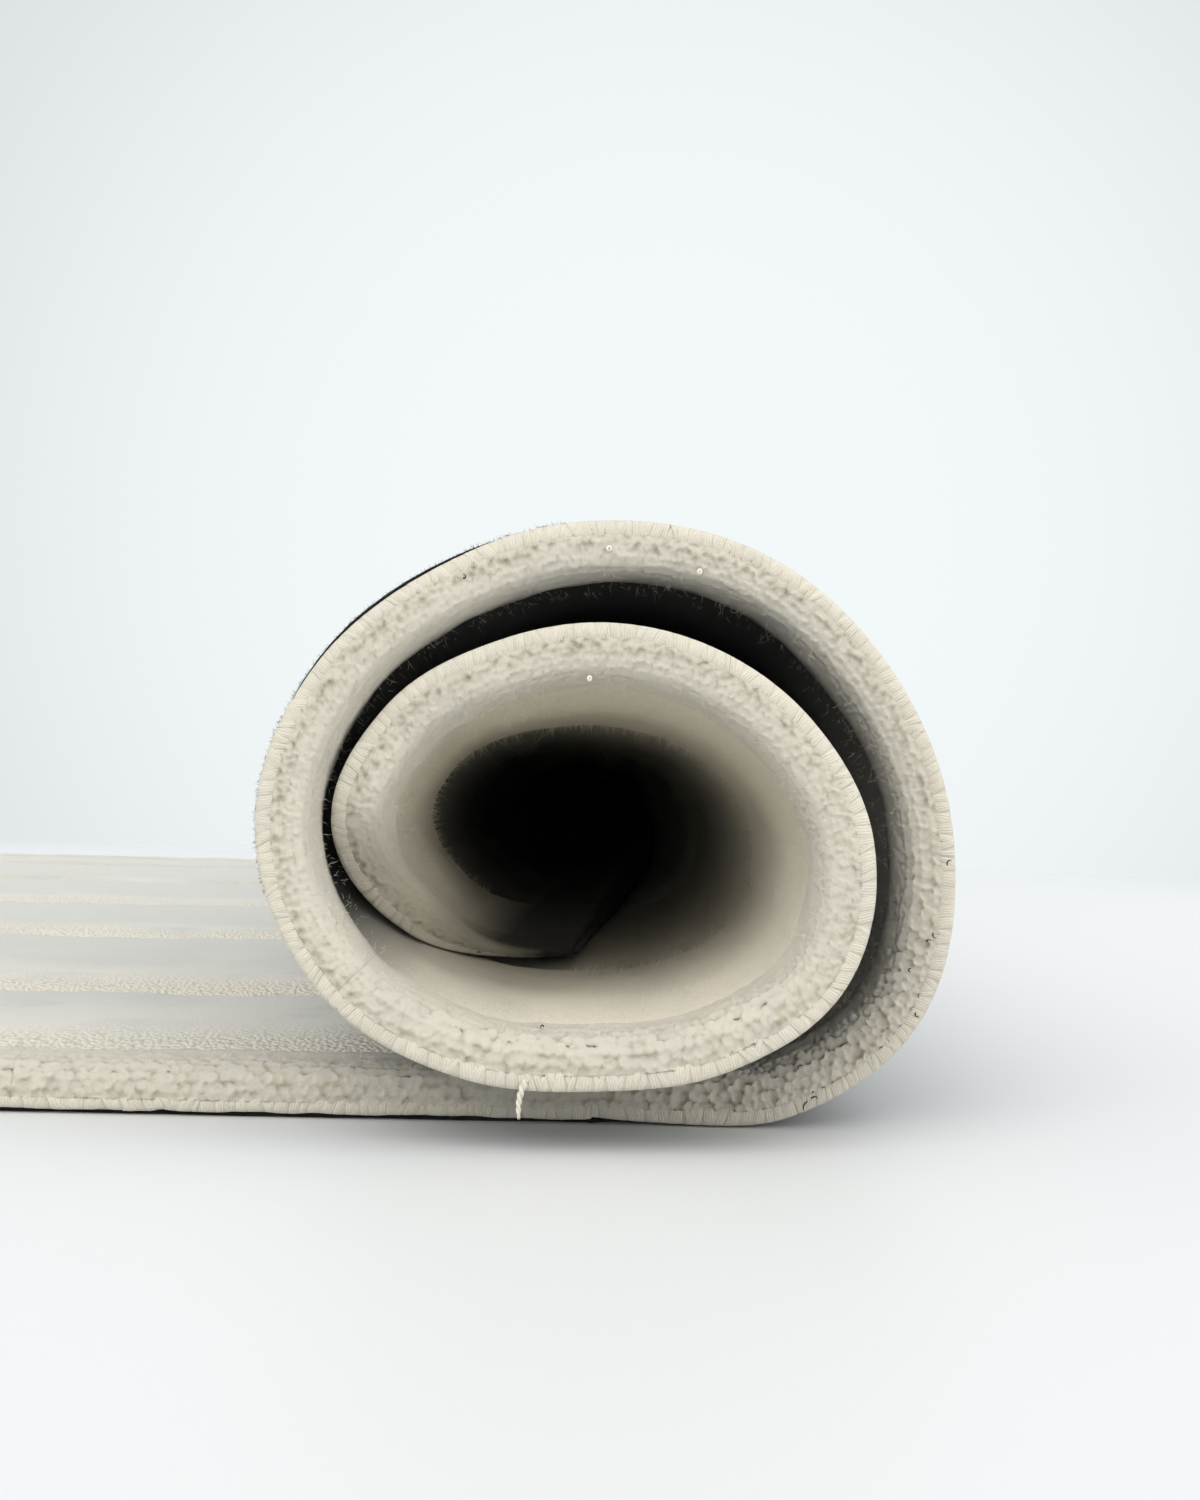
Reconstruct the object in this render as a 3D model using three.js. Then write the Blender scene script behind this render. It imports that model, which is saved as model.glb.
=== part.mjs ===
// A hand-tufted wool rug, rolled up from one end with its pile inward and the rest left flat.
// Millimetres, +Z up. The roll lies along Y, and the flat stretch runs out towards -X.
//
// Every piece is first described on the rug as it would lie unrolled:
//   along   distance from the flat end
//   across  distance from the near side edge
//   height  distance from the outer face of the felt
// and is then wound onto the path of the roll.

import * as THREE from 'three';

// Driving dimensions
const rugLength = 1600;
const rugWidth = 1200;
const rugThickness = 15;        // felt, base cloth and pile together
const feltThickness = 2;
const seam = 0.3;               // parting between neighbouring pieces
const flatLength = 675;         // what is still flat, up to the foot of the roll
const rollLength = rugLength - flatLength;

// Carved relief: shallow grooves that run along the rug, mirrored about its middle
const grooveDepth = 5.5;
const grooveHalfWidth = 9;
const ridgeCrown = 0.6;
const grooves = [42, 168, 384, 600, 816, 1032, 1158];
const crownLines = [105, 240, 312, 456, 528, 672, 744, 888, 960, 1095];

// Edge of the rug: the whipping wraps the base cloth, and the tufts stand above it
const whipDepth = 4.5;          // how far the yarn reaches in from the edge
const whipTop = 6.7;
const whipNose = 0.3;           // how far the yarn bulges past the edge
const feltInset = 1.5;          // from the side edges
const tuftOverhang = 0.5;
const shoulder = { inset: 1.2, drop: 2.4 };
const brow = { inset: 8, drop: 0.4 };
const tuftFaceHeight = 9.5;

// Near end of the roll, one row for each thirtieth degree of winding from the foot:
//   reach  distance of the felt's outer face from the axis
//   slip   how far the side edge of that turn stands out of the roll
const rowsPerTurn = 12;
const nearRows = [
  { reach: 78.0, slip: 0 },
  { reach: 90.1, slip: 1 },
  { reach: 100.6, slip: 3 },
  { reach: 95.9, slip: 6 },
  { reach: 89.4, slip: 14 },
  { reach: 85.9, slip: 19 },
  { reach: 81.9, slip: 25 },
  { reach: 80.7, slip: 31 },
  { reach: 84.4, slip: 35 },
  { reach: 86.0, slip: 39 },
  { reach: 79.1, slip: 42 },
  { reach: 68.5, slip: 43 },
  { reach: 62.2, slip: 43 },
  { reach: 65.5, slip: 43 },
  { reach: 71.4, slip: 41 },
  { reach: 68.4, slip: 40 },
  { reach: 61.1, slip: 38 },
  { reach: 56.2, slip: 36 },
  { reach: 54.9, slip: 33 },
  { reach: 57.0, slip: 30 },
  { reach: 64.5, slip: 27 },
  { reach: 69.3, slip: 22 },
];
const flapSlips = [-36, -112, -135, -135];   // the inner end draws back into the roll
const lapPitch = 17;                     // from one turn to the next where they lie close
const nearAxisHeight = 78;

// Far end of the roll: wound tight, almost shut at its core
const farReach = 74;
const tighteningPower = 1.8;
const slipRecovery = 0.5;
const sag = { depth: 9, over: 120, fromTurn: 1.2 };

// Fineness of the solids
const turnsLaidOut = 3.5;
const pathStepsPerTurn = 360;
const wideStep = 23;
const tightStep = 13;
const flatSteps = 4;

const mix = (a, b, share) => a + (b - a) * share;

// ---- The path of the roll ----

function laidOutRows() {
  const rows = nearRows.map((row) => ({ ...row }));
  while (rows.length <= turnsLaidOut * rowsPerTurn + 2) {
    const flapRow = Math.min(rows.length - nearRows.length, flapSlips.length - 1);
    rows.push({
      reach: rows[rows.length - rowsPerTurn].reach - lapPitch,
      slip: flapSlips[flapRow],
    });
  }
  return rows;
}

const rows = laidOutRows();

// Smooth value of one column at a number of turns from the foot
function rowValue(column, turn) {
  const place = turn * rowsPerTurn;
  const base = Math.floor(place);
  const share = place - base;
  const [before, from, to, after] = [-1, 0, 1, 2].map(
    (step) => rows[THREE.MathUtils.clamp(base + step, 0, rows.length - 1)][column],
  );
  const slopeFrom = (to - before) / 2;
  const slopeTo = (after - from) / 2;
  const square = share * share;
  const cube = square * share;
  return (
    (2 * cube - 3 * square + 1) * from +
    (cube - 2 * square + share) * slopeFrom +
    (3 * square - 2 * cube) * to +
    (cube - square) * slopeTo
  );
}

const tightening = (across) => (Math.max(across, 0) / rugWidth) ** tighteningPower;

function reachAt(turn, across) {
  const tight = tightening(across);
  const ofTurn = turn - Math.floor(turn);
  const nearTop = Math.max(0, 1 - Math.abs(ofTurn - 0.5) / 0.25);
  const sagShare = turn > sag.fromTurn ? Math.sin((nearTop * Math.PI) / 2) ** 2 : 0;
  const drop = sag.depth * (1 - Math.exp(-Math.max(across, 0) / sag.over)) * sagShare;
  const near = rowValue('reach', turn) - drop;
  return mix(near, farReach - lapPitch * turn, tight);
}

// Outer face of the felt in one cross-section, with its length so far
function layOutSection(across) {
  const axisHeight = mix(nearAxisHeight, farReach, tightening(across));
  const points = [];
  let length = 0;
  for (let step = 0; step <= turnsLaidOut * pathStepsPerTurn; step += 1) {
    const turn = step / pathStepsPerTurn;
    const angle = turn * 2 * Math.PI;
    const reach = reachAt(turn, across);
    const point = {
      turn,
      x: reach * Math.sin(angle),
      z: Math.max(0, axisHeight - reach * Math.cos(angle)),
    };
    const last = points[points.length - 1];
    length += last ? Math.hypot(point.x - last.x, point.z - last.z) : 0;
    points.push({ ...point, length });
    if (length > rollLength + rugThickness) {
      break;
    }
  }
  return points;
}

const sections = new Map();

function sectionAt(across) {
  if (!sections.has(across)) {
    sections.set(across, layOutSection(across));
  }
  return sections.get(across);
}

// What stands out of the near end is half recovered at the far end, and what is drawn in, all of it
function slipAt(turn, across) {
  const slip = rowValue('slip', turn);
  const share = across / rugWidth;
  return slip * (slip > 0 ? 1 - slipRecovery * share : (1 - share) ** 2);
}

// Place of a point of the unrolled rug
function wind(along, across, height) {
  const wound = along - flatLength;
  if (wound <= 0) {
    return new THREE.Vector3(wound, across, height);
  }
  const points = sectionAt(across);
  let low = 0;
  let high = points.length - 1;
  while (high - low > 1) {
    const middle = (low + high) >> 1;
    if (points[middle].length > wound) {
      high = middle;
    } else {
      low = middle;
    }
  }
  const from = points[low];
  const to = points[high];
  const share = (wound - from.length) / (to.length - from.length);
  const before = points[Math.max(low - 2, 0)];
  const after = points[Math.min(high + 2, points.length - 1)];
  const inward = new THREE.Vector2(before.z - after.z, after.x - before.x).normalize();
  return new THREE.Vector3(
    mix(from.x, to.x, share) + inward.x * height,
    across - slipAt(mix(from.turn, to.turn, share), across),
    mix(from.z, to.z, share) + inward.y * height,
  );
}

// ---- Lines of the mesh ----

// Both sets of lines start and end at the given inset from the rug's edges
function alongLines(inset) {
  const lines = [inset, brow.inset];
  let place = flatLength;
  for (let step = 1; step < flatSteps; step += 1) {
    lines.push((place * step) / flatSteps);
  }
  while (place < rugLength - brow.inset - tightStep / 2) {
    lines.push(place);
    place += mix(wideStep, tightStep, (place - flatLength) / rollLength);
  }
  return [...lines, rugLength - brow.inset, rugLength - inset];
}

function acrossLines(inset) {
  const sides = [-grooveHalfWidth, 0, grooveHalfWidth];
  const inside = grooves.flatMap((groove) => sides.map((side) => groove + side));
  const all = [...inside, ...crownLines].sort((a, b) => a - b);
  return [inset, brow.inset, ...all, rugWidth - brow.inset, rugWidth - inset];
}

const plainLines = (inset) => [
  inset,
  ...[...grooves.slice(1), ...crownLines].sort((a, b) => a - b),
  rugWidth - inset,
];

function pileHeight(along, across) {
  const fromEdge = Math.min(along, across, rugLength - along, rugWidth - across);
  const fromGroove = Math.min(...grooves.map((groove) => Math.abs(across - groove)));
  if (fromEdge < brow.inset) {
    return rugThickness - shoulder.drop;
  }
  if (fromGroove < grooveHalfWidth) {
    return rugThickness - grooveDepth;
  }
  if (fromEdge === brow.inset) {
    return rugThickness - brow.drop;
  }
  return crownLines.includes(across) ? rugThickness : rugThickness - ridgeCrown;
}

// ---- Mesh building ----

class Skin {
  constructor() {
    this.positions = [];
    this.triangles = [];
  }

  point(along, across, height) {
    const place = wind(along, across, height);
    this.positions.push(place.x, place.y, place.z);
    return { id: this.positions.length / 3 - 1, across };
  }

  triangle(a, b, c) {
    this.triangles.push(a.id, b.id, c.id);
  }

  // A face of the rug as rows of points, one row for each line along it. The first
  // and last rows hold every line across, and the others only the given ones.
  face(insets, linesBetween, heightAt) {
    const along = alongLines(insets.end);
    return along.map((a, i) => {
      const atEnd = i === 0 || i === along.length - 1;
      const across = atEnd ? acrossLines(insets.side) : linesBetween(insets.side);
      return across.map((b) => this.point(a, b, heightAt(a, b)));
    });
  }

  // Fills between two rows of points, whose counts may differ
  joinRows(left, right) {
    let i = 0;
    let j = 0;
    while (i < left.length - 1 || j < right.length - 1) {
      const leftNext = left[i + 1]?.across ?? Infinity;
      const rightNext = right[j + 1]?.across ?? Infinity;
      if (leftNext <= rightNext) {
        this.triangle(left[i], right[j], left[i + 1]);
        i += 1;
      } else {
        this.triangle(left[i], right[j], right[j + 1]);
        j += 1;
      }
    }
  }

  fill(rows, upward) {
    for (let i = 0; i < rows.length - 1; i += 1) {
      if (upward) {
        this.joinRows(rows[i], rows[i + 1]);
      } else {
        this.joinRows(rows[i + 1], rows[i]);
      }
    }
  }

  // Fills between two closed rings of equal count
  band(lower, upper) {
    lower.forEach((corner, i) => {
      const next = (i + 1) % lower.length;
      this.triangle(corner, lower[next], upper[next]);
      this.triangle(corner, upper[next], upper[i]);
    });
  }

  mesh(name, material) {
    const geometry = new THREE.BufferGeometry();
    geometry.setAttribute('position', new THREE.Float32BufferAttribute(this.positions, 3));
    geometry.setIndex(this.triangles);
    geometry.computeVertexNormals();
    const mesh = new THREE.Mesh(geometry, material);
    mesh.name = name;
    return mesh;
  }
}

// The outermost points of a face, going once round it
function rim(rows) {
  const first = rows[0];
  const last = rows[rows.length - 1];
  const near = rows.map((row) => row[0]);
  const far = rows.map((row) => row[row.length - 1]).reverse();
  return [...near, ...last.slice(1, -1), ...far, ...first.slice(1, -1).reverse()];
}

// ---- The pieces ----

// The tufted wool, with a ledge below its outermost tufts that leaves room for the whipping
function pile(material) {
  const skin = new Skin();
  const ledge = whipDepth + seam;
  const level = (height) => () => height;
  const ringAt = (inset, height) => {
    const outline = rim(alongLines(inset).map((a) => acrossLines(inset).map((b) => [a, b])));
    return outline.map(([a, b]) => skin.point(a, b, height));
  };
  const insets = (value) => ({ end: value, side: value });
  const under = skin.face(insets(ledge), plainLines, level(feltThickness + seam));
  const top = skin.face(insets(shoulder.inset), acrossLines, pileHeight);
  const rings = [
    rim(under),
    ringAt(ledge, whipTop + seam),
    ringAt(tuftOverhang, whipTop + seam),
    ringAt(0, tuftFaceHeight),
    rim(top),
  ];
  skin.fill(under, false);
  skin.fill(top, true);
  rings.slice(1).forEach((ring, k) => skin.band(rings[k], ring));
  return skin.mesh('wool_pile', material);
}

function felt(material) {
  const skin = new Skin();
  const insets = { end: whipDepth + seam, side: feltInset };
  const outer = skin.face(insets, plainLines, () => 0);
  const inner = skin.face(insets, plainLines, () => feltThickness);
  skin.fill(outer, false);
  skin.fill(inner, true);
  skin.band(rim(outer), rim(inner));
  return skin.mesh('felt_backing', material);
}

// Yarn wrapped over the edge of the base cloth, as one bar; the profile says
// how far in from the edge and how high each corner of the bar is
const whipProfile = [
  { inset: 1.0, height: feltThickness + seam },
  { inset: whipDepth, height: feltThickness + seam },
  { inset: whipDepth, height: whipTop },
  { inset: 1.0, height: whipTop },
  { inset: -whipNose, height: (feltThickness + whipTop) / 2 },
];

function whipping(name, material, stations, placeOnRug, turnedOver) {
  const skin = new Skin();
  const loops = stations.map((station) => {
    const loop = whipProfile.map(({ inset, height }) => (
      skin.point(...placeOnRug(station, inset), height)
    ));
    return turnedOver ? loop.reverse() : loop;
  });
  const cap = (loop) => {
    for (let k = 1; k < loop.length - 1; k += 1) {
      skin.triangle(loop[0], loop[k], loop[k + 1]);
    }
  };
  for (let i = 0; i < loops.length - 1; i += 1) {
    skin.band(loops[i], loops[i + 1]);
  }
  cap([...loops[0]].reverse());
  cap(loops[loops.length - 1]);
  return skin.mesh(name, material);
}

// ---- Materials ----

const cloth = (color, roughness) => new THREE.MeshStandardMaterial({ color, roughness, metalness: 0 });
const creamWool = cloth(0xded7c5, 0.95);
const whippingYarn = cloth(0xe6dfd0, 0.9);
const blackFelt = cloth(0x1d1c1b, 1);

// ---- Assembly ----

const sideStations = alongLines(0);
const endStations = acrossLines(whipDepth + seam);
const onNearSide = (along, inset) => [along, inset];
const onFarSide = (along, inset) => [along, rugWidth - inset];
const onFlatEnd = (across, inset) => [inset, across];
const onInnerEnd = (across, inset) => [rugLength - inset, across];

const rolledCarpet = new THREE.Group();
rolledCarpet.name = 'rolled_carpet';
rolledCarpet.add(
  pile(creamWool),
  felt(blackFelt),
  whipping('whipping_near_side', whippingYarn, sideStations, onNearSide, false),
  whipping('whipping_far_side', whippingYarn, sideStations, onFarSide, true),
  whipping('whipping_flat_end', whippingYarn, endStations, onFlatEnd, true),
  whipping('whipping_inner_end', whippingYarn, endStations, onInnerEnd, false),
);

// Origin on the floor under the middle of the whole rug
const extent = new THREE.Box3().setFromObject(rolledCarpet);
const middle = extent.getCenter(new THREE.Vector3());
rolledCarpet.position.set(-middle.x, -middle.y, -extent.min.z);

export default rolledCarpet;
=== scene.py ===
import math

import bpy
import numpy as np
from mathutils import Matrix, Vector


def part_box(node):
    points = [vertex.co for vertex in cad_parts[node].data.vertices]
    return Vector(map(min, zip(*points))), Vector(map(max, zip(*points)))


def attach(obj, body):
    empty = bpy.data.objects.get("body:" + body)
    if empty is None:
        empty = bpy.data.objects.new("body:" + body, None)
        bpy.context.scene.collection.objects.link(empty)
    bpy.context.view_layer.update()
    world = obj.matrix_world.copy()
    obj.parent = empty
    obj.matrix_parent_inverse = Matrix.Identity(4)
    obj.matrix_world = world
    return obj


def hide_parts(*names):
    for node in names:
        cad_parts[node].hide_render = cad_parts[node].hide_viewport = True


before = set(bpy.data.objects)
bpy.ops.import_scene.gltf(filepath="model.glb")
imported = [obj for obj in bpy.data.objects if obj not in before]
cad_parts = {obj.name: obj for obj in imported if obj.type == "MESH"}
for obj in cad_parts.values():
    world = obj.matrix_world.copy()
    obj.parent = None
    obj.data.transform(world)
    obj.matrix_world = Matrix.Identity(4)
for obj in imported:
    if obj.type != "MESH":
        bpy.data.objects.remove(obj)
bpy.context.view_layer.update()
print("frame loaded")

mm = 0.001

# A hand-tufted wool rug, rolled up from one end with its pile inward and the rest left flat.
# A place on the unrolled rug is (along, across, height) in millimetres: from the flat end,
# from the near side edge, and from the felt's outer face.
rug = {
    "length": 1600, "width": 1200, "thickness": 15, "felt": 2.0, "flat": 675,
    "grooves": [42, 168, 384, 600, 816, 1032, 1158], "whipDepth": 4.5, "whipNose": 0.3, "seam": 0.3,
}

# Near end of the roll, one value for each 30 degrees of winding from the foot: how far the felt's
# outer face lies from the axis, and how far that part slips out of the roll. The flap slips inward.
roll = {
    "reaches": [78.0, 90.1, 100.6, 95.9, 89.4, 85.9, 81.9, 80.7, 84.4, 86.0, 79.1,
                68.5, 62.2, 65.5, 71.4, 68.4, 61.1, 56.2, 54.9, 57.0, 64.5, 69.3],
    "slips": [0, 1, 3, 6, 14, 19, 25, 31, 35, 39, 42, 43, 43, 43, 41, 40, 38, 36, 33, 30, 27, 22],
    "flapSlips": [-36, -112, -135, -135], "perTurn": 12, "lapPitch": 17, "nearAxis": 78,
    "farReach": 74, "tightening": 1.8, "slipKept": 0.5, "sag": 9, "sagOver": 120, "sagFrom": 1.2,
    "turns": 3.5, "footBend": 2.5, "pressFrom": 1.8, "pressOver": 0.12, "press": 0.78, "pressReach": 160,
    "margin": 10, "nearSections": (0, 200, 41), "farSections": (220, 61), "sampleStep": 1.0,
}


# Numbers limited to between 0 and 1
def limited(values):
    return np.clip(values, 0, 1)


# Values read between the pairs of a short table
def between(values, table):
    return np.interp(values, *np.transpose(table))


def layOutRows():
    reaches, slips = list(roll["reaches"]), list(roll["slips"])
    while len(reaches) <= roll["turns"] * roll["perTurn"] + 2:
        flapRow = min(len(slips) - len(roll["slips"]), len(roll["flapSlips"]) - 1)
        reaches.append(reaches[len(reaches) - roll["perTurn"]] - roll["lapPitch"])
        slips.append(roll["flapSlips"][flapRow])
    return np.array(reaches, float), np.array(slips, float)


rowReach, rowSlip = layOutRows()


def rowValue(values, turn):
    place = np.asarray(turn, float) * roll["perTurn"]
    base = np.floor(place).astype(int)
    share = place - base
    before, start, end, after = (values[np.clip(base + k, 0, len(values) - 1)] for k in (-1, 0, 1, 2))
    square, cube = share ** 2, share ** 3
    return ((2 * cube - 3 * square + 1) * start + (cube - 2 * square + share) * (end - before) / 2
            + (3 * square - 2 * cube) * end + (cube - square) * (after - start) / 2)


# The path of the roll in one cross-section after another, sampled at each millimetre wound
def windTable(sections, samples):
    turn = np.linspace(0, roll["turns"], int(roll["turns"] * 360) + 1)
    nearTop = limited(1 - np.abs(turn % 1 - 0.5) / 0.25)
    sagShare = np.where(turn > roll["sagFrom"], np.sin(nearTop * math.pi / 2) ** 2, 0)
    table = []
    for across in sections:
        deep = max(across, 0)
        tight = (deep / rug["width"]) ** roll["tightening"]
        near = rowValue(rowReach, turn) - roll["sag"] * (1 - math.exp(-deep / roll["sagOver"])) * sagShare
        reach = near + (roll["farReach"] - roll["lapPitch"] * turn - near) * tight
        axisHeight = roll["nearAxis"] + (roll["farReach"] - roll["nearAxis"]) * tight
        x = reach * np.sin(turn * 2 * math.pi)
        z = axisHeight - reach * np.cos(turn * 2 * math.pi)
        foot = np.maximum(z + roll["footBend"], 0) ** 2 / (4 * roll["footBend"])
        z = np.where(z > roll["footBend"], z, foot)
        length = np.concatenate([[0], np.cumsum(np.hypot(np.diff(x), np.diff(z)))])
        inward = np.stack([-np.gradient(z), np.gradient(x)])
        inward /= np.hypot(*inward)
        table.append([np.interp(samples, length, v) for v in (x, z, inward[0], inward[1], turn)])
    return np.array(table)


# Cross-sections of the roll are closest together near its open end
farFrom, farCount = roll["farSections"]
sections = np.concatenate([[-roll["margin"]], np.linspace(*roll["nearSections"]),
                           np.linspace(farFrom, rug["width"] + roll["margin"], farCount)])
samples = np.arange(-1, rug["length"] - rug["flat"] + rug["thickness"] + 1, roll["sampleStep"])
windings = windTable(sections, np.maximum(samples, 0))
turnColumn = 4     # of a winding's columns: x, z, the inward direction's x and z, and the turn
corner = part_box("whipping_flat_end")[0]
origin = np.array([corner.x + (rug["flat"] + rug["whipNose"]) * mm,
                   corner.y - (rug["whipDepth"] + rug["seam"]) * mm, 0])
print("roll wound")


def slipAt(turn, across):
    slip = rowValue(rowSlip, turn)
    share = across / rug["width"]
    return slip * np.where(slip > 0, 1 - roll["slipKept"] * share, (1 - share) ** 2)


# The inner end is pressed flat where its near corner lies in the roll
def pressed(turn, across):
    share = limited((turn - roll["pressFrom"]) / roll["pressOver"])
    fading = np.exp(-np.maximum(across, 0) / roll["pressReach"])
    return 1 - roll["press"] * share * share * (3 - 2 * share) * fading


# Places in metres for arrays of millimetres on the unrolled rug
def wind(along, across, height):
    along, across, height = np.broadcast_arrays(
        np.asarray(along, float), np.asarray(across, float), np.asarray(height, float))
    wound = np.clip(along - rug["flat"] - samples[0], 0, len(samples) - 1.001)
    i = wound.astype(int)
    u = wound - i
    j = np.clip(np.searchsorted(sections, across) - 1, 0, len(sections) - 2)
    v = limited((across - sections[j]) / (sections[j + 1] - sections[j]))
    x, z, nx, nz, turn = (
        (windings[j, k, i] * (1 - u) + windings[j, k, i + 1] * u) * (1 - v)
        + (windings[j + 1, k, i] * (1 - u) + windings[j + 1, k, i + 1] * u) * v for k in range(5))
    flat = along <= rug["flat"]
    x = np.where(flat, along - rug["flat"], x)
    z, nx, nz = np.where(flat, 0, z), np.where(flat, 0, nx), np.where(flat, 1, nz)
    size = np.hypot(nx, nz)
    y = across - np.where(flat, 0, slipAt(turn, across))
    height = height * np.where(flat, 1, pressed(turn, across))
    return np.stack([x + nx / size * height, y, z + nz / size * height], -1) * mm + origin


def unit(vectors):
    return vectors / np.maximum(np.linalg.norm(vectors, axis=-1, keepdims=True), 1e-12)


# Place, and the directions along the rug, away from its near edge and out of its pile
def frameAt(along, across, height):
    step = 0.4
    onward = wind(along + step, across, height) - wind(along - step, across, height)
    aside = wind(along, across + step, height) - wind(along, across - step, height)
    outward = wind(along, across, height + step) - wind(along, across, height - step)
    return wind(along, across, height), unit(onward), unit(aside), unit(outward)


def turnAt(along):
    wound = np.clip(np.asarray(along, float) - rug["flat"] - samples[0], 0, len(samples) - 2)
    return np.where(np.asarray(along) <= rug["flat"], -1, windings[1, turnColumn, wound.astype(int)])


def alongAt(turn):
    return rug["flat"] + np.interp(turn, windings[1, turnColumn], samples)


noise = {"side": 256, "shift": 50}     # the table's side, and a shift that keeps places positive


# Smooth noise on the unrolled rug, from -1 to 1, with the given size of its lumps
def lumps(along, across, size, seed):
    side = noise["side"]
    a, b = np.asarray(along, float) / size + noise["shift"], np.asarray(across, float) / size + noise["shift"]
    table = np.random.default_rng(seed).uniform(-1, 1, (side, side))
    i, j = np.floor(a).astype(int), np.floor(b).astype(int)
    u, v = a - i, b - j
    u, v = u * u * (3 - 2 * u), v * v * (3 - 2 * v)
    corners = [table[(i + di) % side, (j + dj) % side] for di, dj in ((0, 0), (1, 0), (0, 1), (1, 1))]
    return ((corners[0] * (1 - u) + corners[1] * u) * (1 - v)
            + (corners[2] * (1 - u) + corners[3] * u) * v)


# How dark the painted shade on the wool is in the core, in the gap between the laps and on the flap: pairs of
# turn and loss, then the place across the rug where it begins and the width over which it grows
shadow = {
    "core": [(0.85, 0), (0.9, 0.12), (1.05, 0.1), (1.15, 0), (1.3, 0), (1.4, 0.3), (1.5, 0.75), (2.5, 0.95)],
    "coreFrom": 157, "coreOver": 10,
    "gap": [(0.1, 0), (0.2, 0.6), (0.32, 0.75), (0.38, 0.96), (0.8, 0.96), (0.87, 0)],
    "gapFrom": 11, "gapOver": 13,
    "flap": 0.95, "flapFrom": 1.9, "flapOver": 0.05, "flapLean": 0.05, "flapLeanOver": 10,
    "farFrom": 20, "farOver": 160,
}


# Painted shade on wool that lies in the roll, from 0 to 1, standing in for the light it loses there
def rollShade(along, across):
    turn = turnAt(along)
    core = between(turn, shadow["core"]) * limited((across - shadow["coreFrom"]) / shadow["coreOver"])
    gap = between(turn, shadow["gap"]) * limited((across - shadow["gapFrom"]) / shadow["gapOver"])
    lean = shadow["flapLean"] * limited(across / shadow["flapLeanOver"])
    flap = limited((turn - shadow["flapFrom"] + lean) / shadow["flapOver"])
    farEnd = limited((rug["width"] - across - shadow["farFrom"]) / shadow["farOver"])
    return np.maximum(np.maximum(core, gap), shadow["flap"] * flap) * farEnd


def makeMesh(name, points, faces, material, replaced=(), values=None):
    faces = [np.asarray(f) for f in (faces if isinstance(faces, list) else [faces])]
    mesh = bpy.data.meshes.new(name)
    points = np.asarray(points, np.float32).reshape(-1, 3)
    mesh.vertices.add(len(points))
    mesh.vertices.foreach_set("co", points.ravel())
    loops = np.concatenate([f.ravel() for f in faces])
    sizes = np.concatenate([np.full(len(f), f.shape[1]) for f in faces])
    mesh.loops.add(len(loops))
    mesh.loops.foreach_set("vertex_index", loops.astype(np.int32))
    mesh.polygons.add(len(sizes))
    mesh.polygons.foreach_set("loop_start", np.concatenate([[0], np.cumsum(sizes)[:-1]]).astype(np.int32))
    mesh.update(calc_edges=True)
    mesh.shade_smooth()
    for key, data in (values or {}).items():
        data = np.asarray(data, np.float32)
        kind = "FLOAT" if data.ndim == 1 else "FLOAT_VECTOR"
        field = "value" if data.ndim == 1 else "vector"
        mesh.attributes.new(key, kind, "POINT").data.foreach_set(field, data.ravel())
    mesh.materials.append(material)
    piece = bpy.data.objects.new(name, mesh)
    bpy.context.scene.collection.objects.link(piece)
    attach(piece, "root")
    if replaced:
        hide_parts(*replaced)
    print(name, sum(len(f) * (f.shape[1] - 2) for f in faces), "triangles")
    return piece


# Triangles over one end of a loop, between its first points and the rest; order tells how far
# along the end each point lies
def capFaces(order, split):
    first, second = np.arange(split), np.arange(len(order) - 1, split - 1, -1)
    a, b = np.maximum.accumulate(order[first]), np.maximum.accumulate(order[second])
    i, j, faces = 0, 0, []
    while i < len(first) - 1 or j < len(second) - 1:
        if j == len(second) - 1 or (i < len(first) - 1 and a[i + 1] <= b[j + 1]):
            faces.append((first[i], first[i + 1], second[j]))
            i += 1
        else:
            faces.append((first[i], second[j + 1], second[j]))
            j += 1
    return np.array(faces)


# Faces over rows of points that are closed loops, with each end shut
def closedFaces(rows, count, order=None, split=None):
    index = np.arange(rows * count).reshape(rows, count)
    index = np.concatenate([index, index[:, :1]], 1)
    quads = np.stack([index[:-1, :-1], index[1:, :-1], index[1:, 1:], index[:-1, 1:]], -1).reshape(-1, 4)
    if split:
        cap = capFaces(order, split)
        return [quads, cap, (rows - 1) * count + cap[:, ::-1]]
    half = (count - 1) // 2
    left, right = np.arange(half + 1), count - 1 - np.arange(half + 1)
    strips = np.stack([left[:-1], left[1:], right[1:], right[:-1]], -1)
    strips = strips[[len(set(strip)) == 4 for strip in strips.tolist()]]
    last = (rows - 1) * count + strips[:, ::-1]
    ends = [np.concatenate([strips, last])]
    if count % 2:
        middle = np.array([half - 1, half, half + 1])
        ends.append(np.array([middle, (rows - 1) * count + middle[::-1]]))
    return [quads] + ends


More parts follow.
